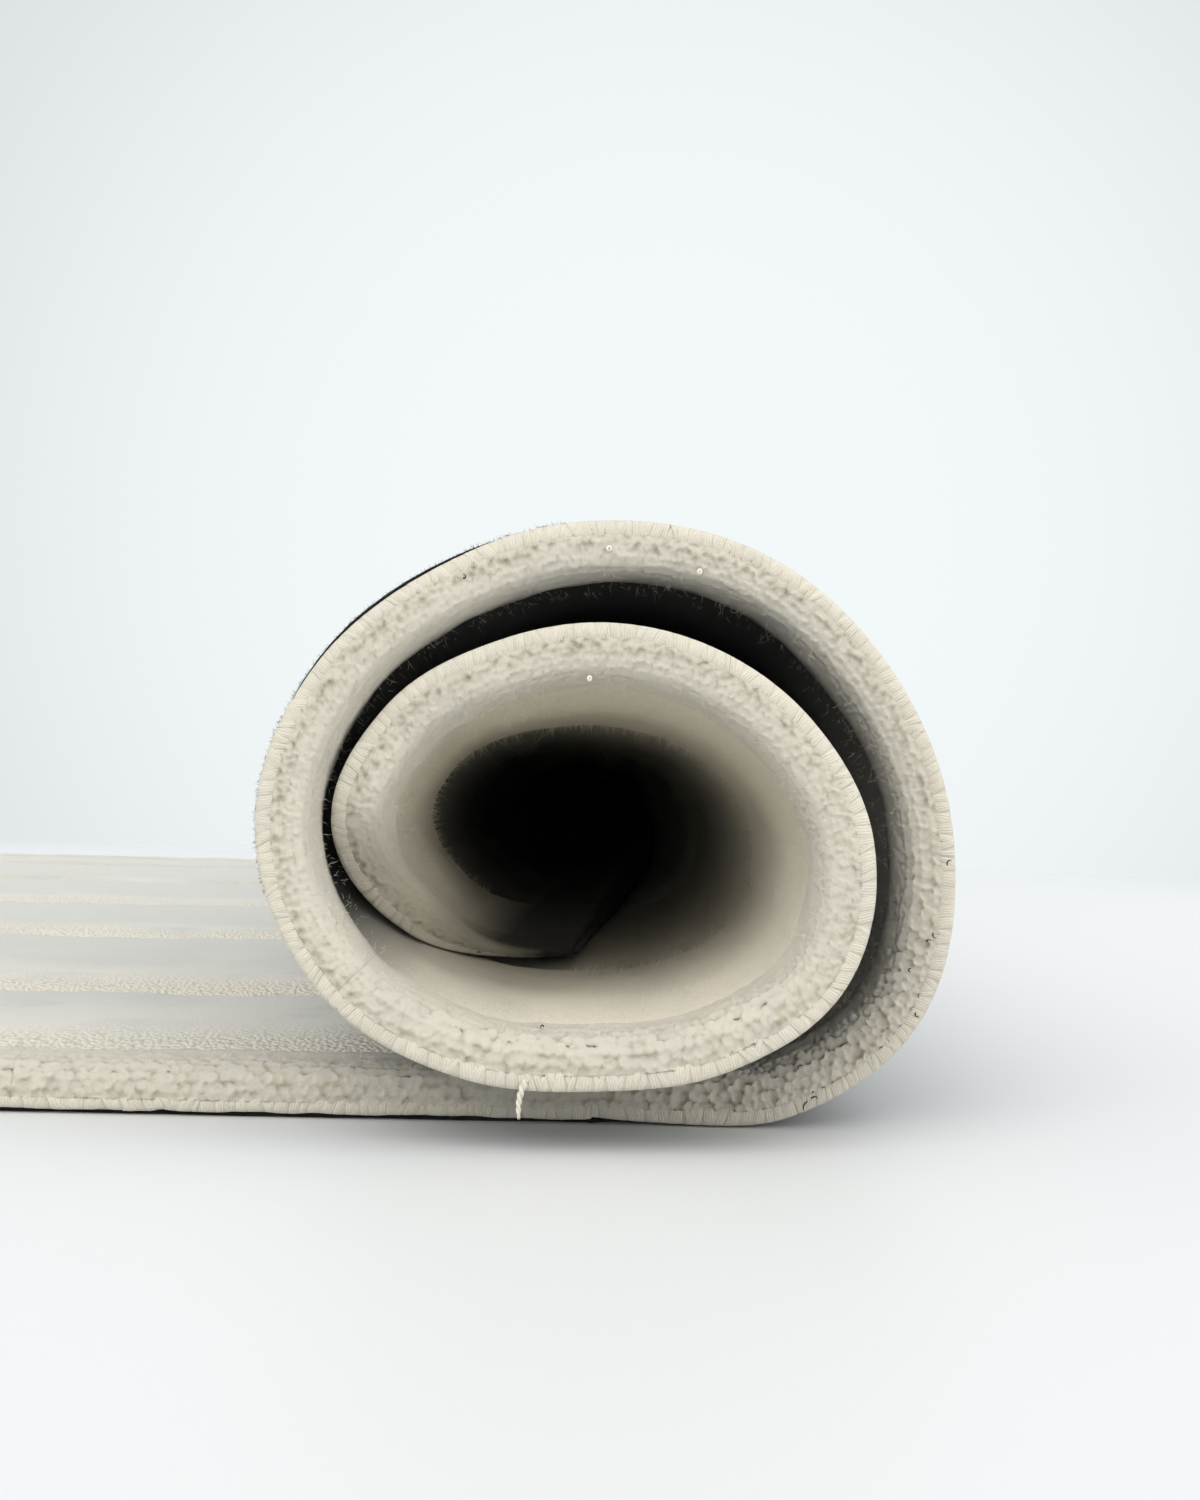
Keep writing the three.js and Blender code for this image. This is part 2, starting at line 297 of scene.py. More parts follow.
# A node's output, so that shader sums are written as sums
class Val:
    def __init__(self, tree, socket):
        self.tree, self.socket = tree, socket

    def math(self, operation, other=None, flip=False):
        values = [self, other] if other is not None else [self]
        return self.tree.node("ShaderNodeMath", {"operation": operation}, values[::-1] if flip else values)

    def __add__(self, other):
        return self.math("ADD", other)

    def __radd__(self, other):
        return self.math("ADD", other)

    def __sub__(self, other):
        return self.math("SUBTRACT", other)

    def __rsub__(self, other):
        return self.math("SUBTRACT", other, True)

    def __mul__(self, other):
        return self.math("MULTIPLY", other)

    def __rmul__(self, other):
        return self.math("MULTIPLY", other)

    def clamp(self):
        return self.math("MAXIMUM", 0.0).math("MINIMUM", 1.0)

    def between(self, low, high):
        return self.tree.node("ShaderNodeMapRange", {"interpolation_type": "SMOOTHSTEP"},
                              {"Value": self, "From Min": low, "From Max": high})


# The nodes of a material or of the sky
class NodeTree:
    def __init__(self, tree):
        self.nodes, self.links = tree.nodes, tree.links

    def node(self, kind, settings=None, inputs=None, output=0):
        made = self.nodes.new(kind)
        for key, value in (settings or {}).items():
            setattr(made, key, value)
        pairs = inputs.items() if isinstance(inputs, dict) else enumerate(inputs or [])
        for key, value in pairs:
            self.plug(made.inputs[key], value)
        return Val(self, made.outputs[output])

    def plug(self, socket, value):
        if isinstance(value, Val):
            self.links.new(value.socket, socket)
        elif isinstance(value, (tuple, list)) and socket.type == "RGBA" and len(value) == 3:
            socket.default_value = (*value, 1)
        else:
            socket.default_value = value

    def mix(self, factor, a, b):
        return self.node("ShaderNodeMix", {"data_type": "RGBA"}, {0: factor, 6: a, 7: b}, 2)

    def value(self, name):
        return self.node("ShaderNodeAttribute", {"attribute_name": name}, None, "Fac")

    def vector(self, name):
        return self.node("ShaderNodeAttribute", {"attribute_name": name}, None, "Vector")

    def scaled(self, vector, scale):
        return self.node("ShaderNodeVectorMath", {"operation": "MULTIPLY"}, [vector, scale])

    def noise(self, vector, scale, detail=3.0, roughness=0.55):
        return self.node("ShaderNodeTexNoise", None,
                         {"Vector": vector, "Scale": scale, "Detail": detail, "Roughness": roughness})

    def bump(self, height, distance, strength=1.0):
        inputs = {"Height": height, "Distance": distance, "Strength": strength}
        return self.node("ShaderNodeBump", None, inputs)


class Finish(NodeTree):
    def __init__(self, name):
        self.material = bpy.data.materials.new(name)
        self.material.use_nodes = True
        super().__init__(self.material.node_tree)
        self.shader = self.nodes["Principled BSDF"]

    def set(self, **values):
        for key, value in values.items():
            self.plug(self.shader.inputs[key.replace("_", " ")], value)
        return self.material


# Wool tones: light is the pile's own cream; edge, darker, is painted shade on the edge faces and the
# whipping; cool is for random patches and for the painted cool sheen and shade on the crests; slope is
# painted warm shade; deep is painted shade in creases, furrows, pits and between tufts and strands; shaded is
# painted shade in the roll
wool = {"light": (0.865, 0.813, 0.693), "edge": (0.715, 0.669, 0.562), "cool": (0.565, 0.558, 0.518),
        "slope": (0.665, 0.605, 0.465), "deep": (0.36, 0.275, 0.155), "shaded": (0.018, 0.016, 0.012),
        "sheen": 0.15, "patchShare": 0.3}
feltTone = {"dark": (0.010, 0.0095, 0.009), "pale": (0.034, 0.032, 0.029), "sheen": 0.06,
            "thread": (0.012, 0.011, 0.012)}
# How fine each grain is, in cells to the millimetre, and how deep its bump is, in metres
grain = {"pileCells": 0.58, "pileFibres": 1.9, "pilePatches": 0.03, "pileBump": 0.0013,
         "tuftFibres": 3.4, "tuftPatches": 0.05, "tuftBump": 0.0008,
         "yarnFibres": (3.4, 0.9, 0.9), "yarnPatches": 0.06, "yarnBump": 0.0007,
         "felt": 0.5, "feltStrands": (0.35, 2.2, 1), "feltStrandScale": 0.7, "feltBump": 0.0008}


# Wool of a colour, darkened by painted shade where it lies in the roll
def finishWool(f, color, normal, roughness=0.95, sheenRoughness=0.6, specular=0.15):
    return f.set(Base_Color=f.mix(f.value("shaded"), color, wool["shaded"]), Roughness=roughness,
                 Sheen_Weight=wool["sheen"], Sheen_Roughness=sheenRoughness,
                 Specular_IOR_Level=specular, Normal=normal)


# Broad cool patches at random, and the crest mask's painted cool sheen and shade, over a tone
def coolOver(f, tone, place, patchScale):
    patches = f.noise(place, patchScale, 3.0).between(0.45, 0.8) * wool["patchShare"]
    return f.mix((patches + f.value("crest")).clamp(), tone, wool["cool"])


def pileFinish():
    f = Finish("tufted wool")
    place = f.vector("rugPlace")
    cells = f.node("ShaderNodeTexVoronoi", {"feature": "F1"},
                   {"Vector": place, "Scale": grain["pileCells"], "Randomness": 0.9})
    fibres = f.noise(place, grain["pileFibres"], 4.0, 0.7)
    tone = coolOver(f, wool["light"], place, grain["pilePatches"])
    # Painted warm shade on the near slopes and in the valleys
    tone = f.mix(f.value("warmth").clamp(), tone, wool["slope"])
    # Painted shade in the furrows between the pile's cells and in the crease at each valley's foot
    furrows = cells.between(0.4, 0.85) * f.value("grainAndFurrowShade")
    color = f.mix((furrows * 0.32 + f.value("crease") * 0.85).clamp(), tone, wool["deep"])
    height = (1 - cells) * f.value("grainAndFurrowShade") + fibres * 0.35
    return finishWool(f, color, f.bump(height, grain["pileBump"], 0.9))


def tuftFinish():
    f = Finish("cut tufts")
    place = f.vector("rugPlace")
    fibres = f.noise(place, grain["tuftFibres"], 4.0, 0.72)
    # The edge tone is painted shade on the edge faces, giving way to the light tone further in
    tone = f.mix(f.value("inside"), wool["edge"], wool["light"])
    tone = coolOver(f, tone, place, grain["tuftPatches"])
    tone = f.mix(f.value("warmth").clamp(), tone, wool["slope"])
    # Painted shade between the tufts, between knobs and in the pits, with each tuft's own random tone
    tone = f.mix((1 - f.value("shade")).clamp(), tone, wool["deep"])
    color = f.mix(fibres.between(0.5, 0.72) * 0.12, tone, wool["deep"])
    return finishWool(f, color, f.bump(fibres, grain["tuftBump"], 0.85))


def yarnFinish():
    f = Finish("whipping yarn")
    place = f.vector("rugPlace")
    fibres = f.noise(f.scaled(place, grain["yarnFibres"]), 1.0, 4.0, 0.7)
    patches = f.noise(place, grain["yarnPatches"], 2.0).between(0.4, 0.75)
    tone = f.mix(patches * wool["patchShare"], wool["edge"], wool["cool"])
    # Painted shade between the whipping's bundles and strands, with each bundle's own random tone
    color = f.mix((1 - f.value("shade")).clamp(), tone, wool["deep"])
    return finishWool(f, color, f.bump(fibres, grain["yarnBump"], 0.8), 0.9, 0.5, 0.2)


# Loose fibres, darkened by painted shade where they lie in the roll
def fuzzFinish():
    f = Finish("loose wool fibres")
    color = f.mix(f.value("shaded"), wool["light"], wool["shaded"])
    return f.set(Base_Color=color, Roughness=0.9, Specular_IOR_Level=0.1)


def feltFinish():
    f = Finish("black felt")
    place = f.vector("rugPlace")
    matted = f.noise(place, grain["felt"], 5.0, 0.7)
    strands = f.noise(f.scaled(place, grain["feltStrands"]), grain["feltStrandScale"], 4.0, 0.7)
    color = f.mix(matted.between(0.45, 0.8), feltTone["dark"], feltTone["pale"])
    nap = f.bump(matted * 0.7 + strands * 0.5, grain["feltBump"], 0.9)
    return f.set(Base_Color=color, Roughness=1.0, Sheen_Weight=feltTone["sheen"], Sheen_Roughness=0.6,
                 Specular_IOR_Level=0.1, Normal=nap)


def threadFinish():
    f = Finish("dark thread")
    return f.set(Base_Color=feltTone["thread"], Roughness=0.8, Specular_IOR_Level=0.2)


pileWool, tuftWool, yarn, fuzz = pileFinish(), tuftFinish(), yarnFinish(), fuzzFinish()
blackFelt, darkThread = feltFinish(), threadFinish()
print("materials made")

# The pile's sizes. Rows of points lie at the end lines and steps along the rug, and at the side
# lines, groove lines and steps across it; the edge is a list of inset and height under the pile.
pileShape = {
    "alongStep": 4.4, "flatStep": 9, "acrossStep": 13, "underStep": 45, "underHeight": 2.3, "underInset": 4.8,
    "endLines": [1.2, 2.5, 5, 8], "sideLines": [2.2, 3.6, 5.5, 8, 12], "sideClear": 14,
    "grooveLines": [1.6, 3.4, 6, 10, 15, 21, 27],
    "edge": [(2.0, 10.0), (2.0, 9.2), (2.3, 8.4), (3.0, 7.7), (4.8, 7.2), (4.8, 2.3)],
    "valleyHalf": 31, "valleyDepth": 5.4, "valleyPower": 2.1, "valleyAtEnds": 0.4, "valleyEase": 30,
    "creaseHalf": 2.4, "creaseDepth": 1.1, "droop": 2.6, "droopReach": 9,
    "lump": 0.6, "lumpSize": 34, "dimple": 0.35, "dimpleSize": 9,
    "sunken": 2.6, "sunkenTo": 34, "sunkenEase": 5, "flatShort": 4, "woundShort": 9,
}
# Deep in the roll the pile of the innermost stretch is crowded together until it closes the core:
# how far it swells, where across the rug that grows and falls off again, and how long the stretch is
crowd = {"height": 44, "from": 620, "over": 260, "fallsFrom": 1090, "fallsOver": 150, "kept": 0.3,
         "stretch": 185, "ease": 30}
# How the tones of the pile lie about its valleys, on the flat stretch and in the roll: painted warm shade on
# the near slopes, painted cool sheen on the crests and painted shade on the far flat stretch, with random
# blotches
tones = {
    "warmFor": 26, "wander": 0.6, "wanderSize": 60, "warmInValley": 0.6, "warmth": 0.2, "flatWarmth": 0.22,
    "flatStart": 1.2, "flatFall": 4, "flatKept": 0.12, "fadeFrom": 180, "fadeOver": 700, "fadeKept": 0.35,
    "blotch": 0.15, "blotchSize": 48, "crest": 0.75, "crestMore": 0.35, "crestFrom": 30, "crestOver": 50,
    "crestInValley": 0.3, "farShade": 0.35, "farFrom": 300, "farOver": 600, "grain": 0.06, "slopeGrain": 0.9,
}


def stations():
    flatEnd = np.array(pileShape["endLines"])
    flatStop, woundStop = rug["flat"] - pileShape["flatShort"], rug["length"] - pileShape["woundShort"]
    flat = np.arange(flatEnd[-1] + pileShape["flatStep"], flatStop, pileShape["flatStep"])
    wound = np.arange(rug["flat"], woundStop, pileShape["alongStep"])
    return np.concatenate([flatEnd, flat, wound, rug["length"] - flatEnd[::-1]])


def acrossLines():
    offsets, clear, width = pileShape["grooveLines"], pileShape["sideClear"], rug["width"]
    lines = set(pileShape["sideLines"])
    for g in rug["grooves"]:
        lines |= {float(g)} | {g - a for a in offsets if g - a > clear} | {g + a for a in offsets}
    lines = {a for a in lines if a < width - clear} | {width - a for a in pileShape["sideLines"]}
    lines = sorted(lines)
    filled = [lines[0]]
    for line in lines[1:]:
        start = filled[-1]
        gap = line - start
        parts = max(1, round(gap / pileShape["acrossStep"]))
        filled += [start + gap * (k + 1) / parts for k in range(parts)]
    return np.array(filled)


# How far places lie past each groove
def pastGrooves(across):
    return np.stack([across - g for g in rug["grooves"]])


# How deep a valley is carved, from 0 to 1, less so at the two ends of the rug
def carvedAt(along, fromGroove):
    carved = limited(1 - fromGroove / pileShape["valleyHalf"]) ** pileShape["valleyPower"]
    fromEnd = np.minimum(along, rug["length"] - along)
    return carved * limited(pileShape["valleyAtEnds"] + fromEnd / pileShape["valleyEase"])


def creaseAt(fromGroove):
    return limited(1 - fromGroove / pileShape["creaseHalf"])


def pileTop(along, across):
    fromGroove = np.min(np.abs(pastGrooves(across)), 0)
    edge = np.minimum(np.minimum(across, rug["width"] - across), np.minimum(along, rug["length"] - along))
    droop = pileShape["droop"] * limited(1 - edge / pileShape["droopReach"]) ** 2
    height = rug["thickness"] - droop - pileShape["valleyDepth"] * carvedAt(along, fromGroove)
    height = height - pileShape["creaseDepth"] * creaseAt(fromGroove)
    height = height + pileShape["lump"] * lumps(along, across, pileShape["lumpSize"], 3)
    height = height + pileShape["dimple"] * lumps(along, across, pileShape["dimpleSize"], 4)
    falls = np.clip(1 - (across - crowd["fallsFrom"]) / crowd["fallsOver"], crowd["kept"], 1)
    deep = limited((across - crowd["from"]) / crowd["over"]) * falls
    innermost = limited((along - rug["length"] + crowd["stretch"]) / crowd["ease"])
    return height + crowd["height"] * deep * innermost


# The looks of the pile's face, from 0 to 1: painted shade in the crease along the foot of each valley,
# painted warm shade on the near slope of each ridge, painted cool sheen on its crest, and where it is grainy,
# with painted shade between its cells
def pileTones(along, across):
    offsets = pastGrooves(across)
    fromGroove = np.min(np.abs(offsets), 0)
    past = np.where(offsets >= 0, offsets, rug["width"]).min(0)
    carved = carvedAt(along, fromGroove)
    wander = 1 + tones["wander"] * lumps(along, across, tones["wanderSize"], 6)
    slope = limited(np.exp(-(past / (tones["warmFor"] * wander)) ** 2) + tones["warmInValley"] * carved)
    flat = tones["flatStart"] - np.maximum(turnAt(along), 0) * tones["flatFall"]
    flat = np.clip(flat, tones["flatKept"], 1)
    fade = np.clip(1 - (across - tones["fadeFrom"]) / tones["fadeOver"], tones["fadeKept"], 1)
    blotched = 1 - tones["blotch"] + tones["blotch"] * lumps(along, across, tones["blotchSize"], 7)
    crest = tones["crest"] + tones["crestMore"] * limited((past - tones["crestFrom"]) / tones["crestOver"])
    crest = flat * crest * (1 - tones["crestInValley"] * carved) * blotched
    # Painted shade on the far part of the flat stretch, where less light falls
    crest = crest + tones["farShade"] * flat * limited((across - tones["farFrom"]) / tones["farOver"])
    warmth = slope * (tones["warmth"] + tones["flatWarmth"] * flat) * fade * blotched
    return {"crease": creaseAt(fromGroove), "warmth": warmth, "crest": limited(crest),
            "grainAndFurrowShade": limited(tones["grain"] + tones["slopeGrain"] * slope * flat)}


def makePile():
    along, across = stations(), acrossLines()
    underInset, underHeight = pileShape["underInset"], pileShape["underHeight"]
    under = np.arange(underInset, rug["width"] - underInset + 0.1, pileShape["underStep"])[::-1]
    edge = pileShape["edge"]
    a, b = np.meshgrid(along, across, indexing="ij")
    nearSide = np.minimum(b, rug["width"] - b)
    sunken = limited((pileShape["sunkenTo"] - nearSide) / pileShape["sunkenEase"])
    top = pileTop(a, b) - pileShape["sunken"] * sunken
    full = np.ones((len(along), 1))
    rest = [(rug["width"] - inset, height) for inset, height in edge]
    rest += [(place, underHeight) for place in under] + edge[::-1]
    loopAcross = np.concatenate([b] + [full * place for place, _ in rest], 1)
    loopHeight = np.concatenate([top] + [full * height for _, height in rest], 1)
    looks = {key: np.concatenate([value] + [full * 0] * len(rest), 1).ravel()
             for key, value in pileTones(a, b).items()}
    loopAlong = along[:, None] * np.ones_like(loopAcross)
    points = wind(loopAlong, loopAcross, loopHeight)
    looks["rugPlace"] = np.stack([loopAlong, loopAcross, loopHeight], -1).reshape(-1, 3)
    looks["shaded"] = rollShade(loopAlong, loopAcross).ravel()
    faces = closedFaces(*loopAcross.shape, loopAcross[0], len(across))
    return makeMesh("wool_pile_cloth", points, faces, pileWool, ["wool_pile"], looks)


pile = makePile()

feltShape = {"alongStep": 6, "flatStep": 12, "acrossStep": 18, "edgeShows": 1.0, "edgeHides": 5.6,
             "ragged": 0.5, "raggedSize": 6, "wave": 0.35, "waveSize": 40, "waveLimit": 0.3, "endInset": 4.9,
             "start": 5, "flatShort": 4, "woundShort": 5}
# Where the felt shows past the whipping: on the flat stretch, by the foot and at the roll's upper left
feltPeeps = {"upperLeft": 0.625, "upperLeftHalf": 0.07, "upperLeftShare": 0.5, "flat": 0.6,
             "flatSpread": 0.25, "flatSize": 7, "foot": 0.6, "footTurns": 0.06}


def feltShows(along):
    turn = turnAt(along)
    upperLeft = limited(1 - np.abs(turn - feltPeeps["upperLeft"]) / feltPeeps["upperLeftHalf"]) ** 0.5
    foot = feltPeeps["foot"] * limited(1 - turn / feltPeeps["footTurns"])
    flat = feltPeeps["flat"] + feltPeeps["flatSpread"] * lumps(along, 0 * along, feltPeeps["flatSize"], 12)
    return np.where(turn < 0, flat, np.maximum(upperLeft * feltPeeps["upperLeftShare"], foot))


def makeFelt():
    farInset = rug["width"] - feltShape["endInset"]
    flat = np.arange(feltShape["start"], rug["flat"] - feltShape["flatShort"], feltShape["flatStep"])
    wound = np.arange(rug["flat"], rug["length"] - feltShape["woundShort"], feltShape["alongStep"])
    along = np.concatenate([flat, wound, [rug["length"] - feltShape["endInset"]]])
    ragged = feltShape["ragged"] * lumps(along, 0 * along, feltShape["raggedSize"], 8)
    shown = (feltShape["edgeShows"] - feltShape["edgeHides"]) * feltShows(along)
    nearInset = feltShape["edgeHides"] + shown + ragged
    shares = np.linspace(0, 1, int(rug["width"] / feltShape["acrossStep"]))[None, :]
    low = nearInset[:, None] + (farInset - nearInset[:, None]) * shares
    limit = feltShape["waveLimit"]
    wave = np.clip(feltShape["wave"] * lumps(along[:, None], low, feltShape["waveSize"], 9), -limit, limit)
    wave = wave * (along > rug["flat"])[:, None]
    heights = np.concatenate([wave, np.full_like(low, rug["felt"])], 1)
    across = np.concatenate([low, low[:, ::-1]], 1)
    alongGrid = along[:, None] * np.ones_like(across)
    points = wind(alongGrid, across, heights)
    place = np.stack([alongGrid, across, heights], -1)
    faces = [f[:, ::-1] for f in closedFaces(*across.shape)]
    return makeMesh("felt_cloth", points, faces, blackFelt, ["felt_backing"],
                    {"rugPlace": place.reshape(-1, 3)})


felt = makeFelt()

# The whipping's sizes, and its section as a ring of inset, height and how much it bulges outward
whip = {"strand": 0.75, "coarseStrand": 1.4, "hiddenStrand": 2.6, "uneven": (0.85, 1.15), "perBundle": (2, 5),
        "samplesPerStrand": 3, "firstSample": 0.15, "ridge": 0.34, "ridgeMiddle": 0.6, "bulge": 0.5,
        "bulgeMiddle": 0.75, "bundleSize": (0.6, 1.15), "lean": 2.6, "leanShare": 1.4,
        "spanFrom": 2.0, "spanOver": 5.0, "drop": 1.55, "dropFades": 1.6, "endInset": 4.8,
        "pale": 0.93, "paleSpread": 0.07, "shadeBetweenBundles": 0.16, "shadeBetweenStrands": 0.16, "strandMiddle": 0.2}
whipRing = [(4.4, 2.4, 0), (1.4, 1.9, 0.3), (0.2, 2.1, 0.8), (-0.3, 2.8, 1), (-0.5, 3.6, 1), (-0.5, 4.5, 1),
            (0.1, 5.3, 0.7), (1.8, 5.8, 0.3), (4.4, 5.7, 0)]


# Where each strand starts, which bundle it is in, and its number there with the bundle's count
def bundles(length, strand, generator):
    strands, owner, share = [], [], []
    place, k = 0.0, 0
    while place < length:
        count = generator.integers(whip["perBundle"][0], whip["perBundle"][1] + 1)
        for n in range(count):
            strands.append(place)
            owner.append(k)
            share.append((n, count))
            place += strand * generator.uniform(*whip["uneven"])
        k += 1
    return np.array(strands), np.array(owner), np.array(share, float)


def makeWhipping(name, node, length, toRug, seed, strand, shows, turnedOver):
    generator = np.random.default_rng(seed)
    each = whip["samplesPerStrand"]
    strands, owner, share = bundles(length, strand, generator)
    lean = generator.uniform(-whip["lean"], whip["lean"], owner[-1] + 1)
    size = generator.uniform(*whip["bundleSize"], owner[-1] + 1)
    phase = (np.arange(each) + whip["firstSample"]) / each
    ends = np.append(strands[1:], strands[-1] + strand)
    along = (strands[:, None] + (ends - strands)[:, None] * phase).ravel()
    who = np.repeat(owner, each)
    inBundle = ((share[:, :1] + phase) / share[:, 1:]).ravel()
    ridge = np.tile(np.sin(np.pi * phase), len(strands)) - whip["ridgeMiddle"]
    dome = np.sqrt(limited(1 - (2 * inBundle - 1) ** 2))
    keep = along < length
    along, who, ridge, dome = along[keep], who[keep], ridge[keep], dome[keep]
    insets, heights, outward = np.array(whipRing).T
    span = limited((heights - whip["spanFrom"]) / whip["spanOver"])
    covered = 1 - shows(along)[:, None]
    height = heights - whip["drop"] * covered * limited(1 - span * whip["dropFades"])
    domed = (dome * size[who] - whip["bulgeMiddle"])[:, None] * whip["bulge"]
    inset = insets - outward * (ridge[:, None] * whip["ridge"] + domed)
    shift = along[:, None] + lean[who][:, None] * (span - 0.5) * whip["leanShare"]
    a, b = toRug(np.clip(shift, 0, length), inset)
    points = wind(a, b, height)
    # Each bundle's own random tone, with painted shade between the bundles and in the grooves between the
    # strands
    shade = whip["pale"] + whip["paleSpread"] * generator.random(owner[-1] + 1)[who]
    shade = shade - whip["shadeBetweenBundles"] * (1 - dome) ** 2
    shade = (shade + (ridge - whip["strandMiddle"]) * whip["shadeBetweenStrands"])[:, None] + 0 * span
    faces = closedFaces(*inset.shape)
    if turnedOver:
        faces = [f[:, ::-1] for f in faces]
    place = np.stack([a, b, height], -1).reshape(-1, 3)
    return makeMesh(name, points, faces, yarn, [node],
                    {"rugPlace": place, "shade": limited(shade).ravel(), "shaded": rollShade(a, b).ravel()})


def hidden(along):
    return 0 * along


endLength = rug["width"] - 2 * whip["endInset"]
whippings = [
    makeWhipping("whipping_near_yarn", "whipping_near_side", rug["length"],
                 lambda s, inset: (s, inset), 21, whip["strand"], feltShows, False),
    makeWhipping("whipping_far_yarn", "whipping_far_side", rug["length"],
                 lambda s, inset: (s, rug["width"] - inset), 22, whip["coarseStrand"], hidden, True),
    makeWhipping("whipping_flat_end_yarn", "whipping_flat_end", endLength,
                 lambda s, inset: (inset, s + whip["endInset"]), 23, whip["coarseStrand"], hidden, True),
    makeWhipping("whipping_inner_end_yarn", "whipping_inner_end", endLength,
                 lambda s, inset: (rug["length"] - inset, s + whip["endInset"]), 24, whip["hiddenStrand"],
                 hidden, False),
]

# Sizes of the tufted edge. Its section is a line of inset and height, with steps that widen past fineTo;
# its back, inside the pile, is another. The fades are pairs of place over the edge and share.
tuft = {
    "small": 1.8, "large": 2.9, "spread": 0.66, "jitter": 0.24, "domeUnequal": 0.2,
    "height": 1.0, "middle": 0.62, "unequal": 0.25, "moreIfLarge": 0.3,
    "knob": 1.15, "knobHeight": 0.3, "knobMiddle": 0.6, "knobUnequal": 0.3,
    "pitStart": 2, "pitEvery": 4.3, "pitDepth": 1.4, "pitDepths": (0.1, 1.0), "pitLine": 4.6,
    "pitWander": 0.9, "pitWide": 0.75, "pitLostIfLarge": 0.75,
    "section": [(2.8, 3.5), (0.4, 3.8), (-0.5, 4.4), (-0.75, 5.8), (-0.8, 7.6), (-0.6, 9.8), (0.3, 11.8),
                (2.4, 13.3), (5.3, 14.3), (9, 14.8), (37, 14.9)],
    "back": [(36, 8.4), (14, 8.2), (4.6, 8.0), (3.8, 6.0)],
    "fineTo": 19, "fineStep": 0.5, "coarseStep": 1.3, "slopeOver": 0.9, "sideClear": 9.5,
    "softTo": (9.5, 15), "edgeFade": [(0, 0.5), (1.0, 0.9), (2.5, 1), (46, 0.8)],
    "pileFade": [(0, 1), (4, 0.6), (9, 0.3), (40, 0.2)],
    "ragged": 0.8, "raggedSize": 3.1, "raggedOver": 3, "tuckedIn": 2.6, "tuckOver": 5,
    "followFrom": 4, "followOver": 7,
}
# Painted shade in the furrows between tufts, between knobs and in the pits, each tuft's own random tone, and
# where the painted tones start across the edge
tuftLooks = {"furrowFrom": 0.72, "furrowOver": 0.6, "knobShade": 0.12, "knobFrom": 0.7, "pitShade": 0.8,
             "own": 0.06, "backShade": 0.5, "warmFrom": 9, "warmOver": 6, "insideFrom": 5, "insideOver": 12,
             "crestFrom": 14, "farCrestFrom": 4, "crestOver": 20}

# The tufts along the near edge: turn, how far they stand, how dark the painted shade between them is, how
# many are large
tuftMoods = np.array([
    (-1, 1.0, 0.6, 0.8), (0.0, 1.0, 0.65, 0.85), (0.03, 1.3, 1.0, 1), (0.17, 1.3, 1.0, 1),
    (0.25, 0.95, 0.6, 0.6), (0.36, 0.7, 0.4, 0.2), (0.7, 0.6, 0.32, 0), (0.84, 0.7, 0.36, 0.2),
    (0.92, 1.0, 0.5, 0.9), (1.1, 1.0, 0.5, 0.9), (1.2, 0.85, 0.42, 0.4), (1.5, 0.75, 0.4, 0.1),
    (1.8, 0.6, 0.3, 0), (2.5, 0.4, 0.2, 0)])


# Round-topped cells over a plane: how high each point stands, from 0 to 1, and its cell's own value.
# Each second row is shifted by half a cell, and each dome sits a little away from its cell's middle.
def cellDomes(s, t, size, seed):
    jitter, unequal, side = tuft["jitter"], tuft["domeUnequal"], noise["side"]
    table = np.random.default_rng(seed).uniform(-1, 1, (side, side, 3))
    i, j = np.floor(s / size).astype(int), np.floor(t / size).astype(int)
    best, own = np.zeros(s.shape), np.zeros(s.shape)
    for di in (-1, 0, 1):
        for dj in (-1, 0, 1):
            cell = table[(i + di) % side, (j + dj) % side]
            ds = s / size - (i + di + 0.5 + 0.5 * ((j + dj) % 2) - 0.25 + jitter * cell[..., 0])
            dt = t / size - (j + dj + 0.5 + jitter * cell[..., 1])
            dome = np.sqrt(limited(1 - (ds ** 2 + dt ** 2) / tuft["spread"] ** 2))
            dome = dome * (1 + unequal * cell[..., 2])
            own = np.where(dome > best, cell[..., 2], own)
            best = np.maximum(best, dome)
    return best, own


# The rounded edge in section: place along it, inset, height and outward direction
def edgeSection(coarser):
    knots, over = np.array(tuft["section"]), tuft["slopeOver"]
    runs = np.concatenate([[0], np.cumsum(np.hypot(*np.diff(knots, axis=0).T))])
    t = np.concatenate([np.arange(0, tuft["fineTo"], tuft["fineStep"] * coarser),
                        np.arange(tuft["fineTo"], runs[-1], tuft["coarseStep"] * coarser), [runs[-1]]])
    inset, height = np.interp(t, runs, knots[:, 0]), np.interp(t, runs, knots[:, 1])
    rise = np.interp(t + over, runs, knots[:, 1]) - np.interp(t - over, runs, knots[:, 1])
    run = np.interp(t + over, runs, knots[:, 0]) - np.interp(t - over, runs, knots[:, 0])
    size = np.hypot(rise, run)
    return t, inset, height, -rise / size, run / size


# Small pits where the whipping yarn dives into the edge, in a wandering row
def pits(s, t, start, stop, generator):
    wander = tuft["pitWander"]
    places = np.arange(start + tuft["pitStart"], stop, tuft["pitEvery"] / 2)
    places = places + generator.uniform(-wander, wander, len(places))
    lines = tuft["pitLine"] + generator.uniform(-wander, wander, len(places))
    lines = lines + wander * (np.arange(len(places)) % 2)
    depths = generator.uniform(*tuft["pitDepths"], len(places))
    slants = generator.uniform(-1, 1, len(places))
    nearest = np.clip(np.searchsorted(places, s) - 1, 1, len(places) - 3)
    pit = np.zeros(s.shape)
    for k in (-1, 0, 1, 2):
        n = nearest + k
        ds, dt = s - places[n], t - lines[n]
        away = ((ds + slants[n] * dt) / tuft["pitWide"]) ** 2 + dt ** 2
        pit = np.maximum(pit, depths[n] * np.exp(-away))
    return pit
